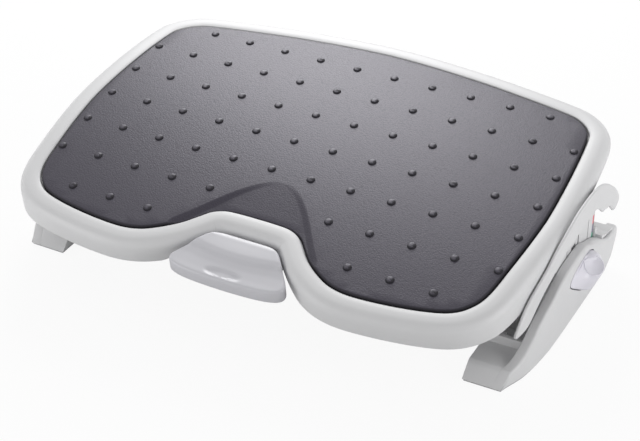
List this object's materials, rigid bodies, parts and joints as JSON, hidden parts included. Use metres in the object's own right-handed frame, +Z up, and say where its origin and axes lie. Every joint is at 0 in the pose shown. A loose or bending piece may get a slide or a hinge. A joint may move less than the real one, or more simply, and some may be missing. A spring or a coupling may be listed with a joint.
{
  "type": "ergonomic footrest",
  "caption": "Tilting foot platform with a raised-dot mat, carried between height-adjustable side stands, with a front pedal that frees the tilt and side buttons that free the height.",
  "frame": {"origin": "on the floor under the middle of the footrest's bounding box", "axes": "+X to the user's right along the tilt axle, +Y away from the user to the rear, +Z up; the pedal is at -Y"},
  "size_m": [0.5524, 0.3638, 0.1295],
  "materials": {
    "grey_plastic": "fine matte texture",
    "dark_mat": "pebbled grain",
    "pedal_plastic": "satin",
    "button_plastic": "satin",
    "scale_print": "printed bands",
    "sole_rubber": "matte",
    "black_rubber": "matte",
    "latch_plastic": "matte",
    "bush_nylon": "plain",
    "drum_metal": "turned",
    "steel": "plated"
  },
  "bodies": {
    "right_stand": {"right_stand": "grey_plastic", "right_stand_cover": "grey_plastic", "right_cover_screw_1": "steel", "right_cover_screw_2": "steel", "right_cover_screw_3": "steel", "right_cover_screw_4": "steel", "right_sole": "sole_rubber", "right_button_spring": "steel"},
    "left_stand": {"left_stand": "grey_plastic", "left_stand_cover": "grey_plastic", "left_cover_screw_1": "steel", "left_cover_screw_2": "steel", "left_cover_screw_3": "steel", "left_cover_screw_4": "steel", "left_sole": "sole_rubber", "left_button_spring": "steel"},
    "cradle": {"tilt_axle": "steel", "brake_drum": "drum_metal", "drum_pin": "steel", "right_lift_bracket": "grey_plastic", "right_height_scale": "scale_print", "right_set_screw": "steel", "left_lift_bracket": "grey_plastic", "left_height_scale": "scale_print", "left_set_screw": "steel"},
    "platform": {"tray": "grey_plastic", "mat": "dark_mat", "brake_housing": "grey_plastic", "brake_cover": "grey_plastic", "brake_cover_screw_1": "steel", "brake_cover_screw_2": "steel", "brake_cover_screw_3": "steel", "brake_cover_screw_4": "steel", "brake_spring": "steel", "pedal_pin": "steel", "pedal_spring": "steel", "pivot_bush_1": "bush_nylon", "pivot_bush_2": "bush_nylon", "pivot_bush_3": "bush_nylon", "pivot_bush_4": "bush_nylon"},
    "brake_slide": {"brake_slide": "grey_plastic", "brake_lining": "black_rubber"},
    "pedal": {"pedal": "pedal_plastic"},
    "right_button": {"right_button": "button_plastic", "right_latch": "latch_plastic"},
    "left_button": {"left_button": "button_plastic", "left_latch": "latch_plastic"}
  },
  "joints": [
    {"name": "height_slide", "type": "slide", "parent": "right_stand", "child": "cradle", "axis": [0, 0, 1], "range_m": [-0.01905, 0.01905]},
    {"name": "left_height_slide", "type": "slide", "parent": "cradle", "child": "left_stand", "axis": [0, 0, -1], "range_m": [-0.01905, 0.01905]},
    {"name": "tilt_hinge", "type": "hinge", "parent": "cradle", "child": "platform", "pos_m": [0, 0.00175, 0.08159], "axis": [1, 0, 0], "range_deg": [-8.44, 18.5]},
    {"name": "pedal_press", "type": "hinge", "parent": "platform", "child": "pedal", "pos_m": [0, -0.11622, 0.0656], "axis": [1, 0, 0], "range_deg": [0, 10], "stiffness_Nm_per_rad": 0.8, "springref_deg": -17.19},
    {"name": "brake_release", "type": "slide", "parent": "platform", "child": "brake_slide", "axis": [0, 0.9892, 0.1468], "range_m": [0, 0.0028], "stiffness_N_per_m": 200, "springref_m": -0.003},
    {"name": "right_button_press", "type": "slide", "parent": "right_stand", "child": "right_button", "axis": [-1, 0, 0], "range_m": [0, 0.004], "stiffness_N_per_m": 300, "springref_m": -0.004},
    {"name": "left_button_press", "type": "slide", "parent": "left_stand", "child": "left_button", "axis": [1, 0, 0], "range_m": [0, 0.004], "stiffness_N_per_m": 300, "springref_m": -0.004}
  ],
  "couplings": [
    {"joint": "left_height_slide", "follows": "height_slide", "ratio": 1},
    {"joint": "brake_release", "follows": "pedal_press", "m_per_rad": 0.0155}
  ]
}
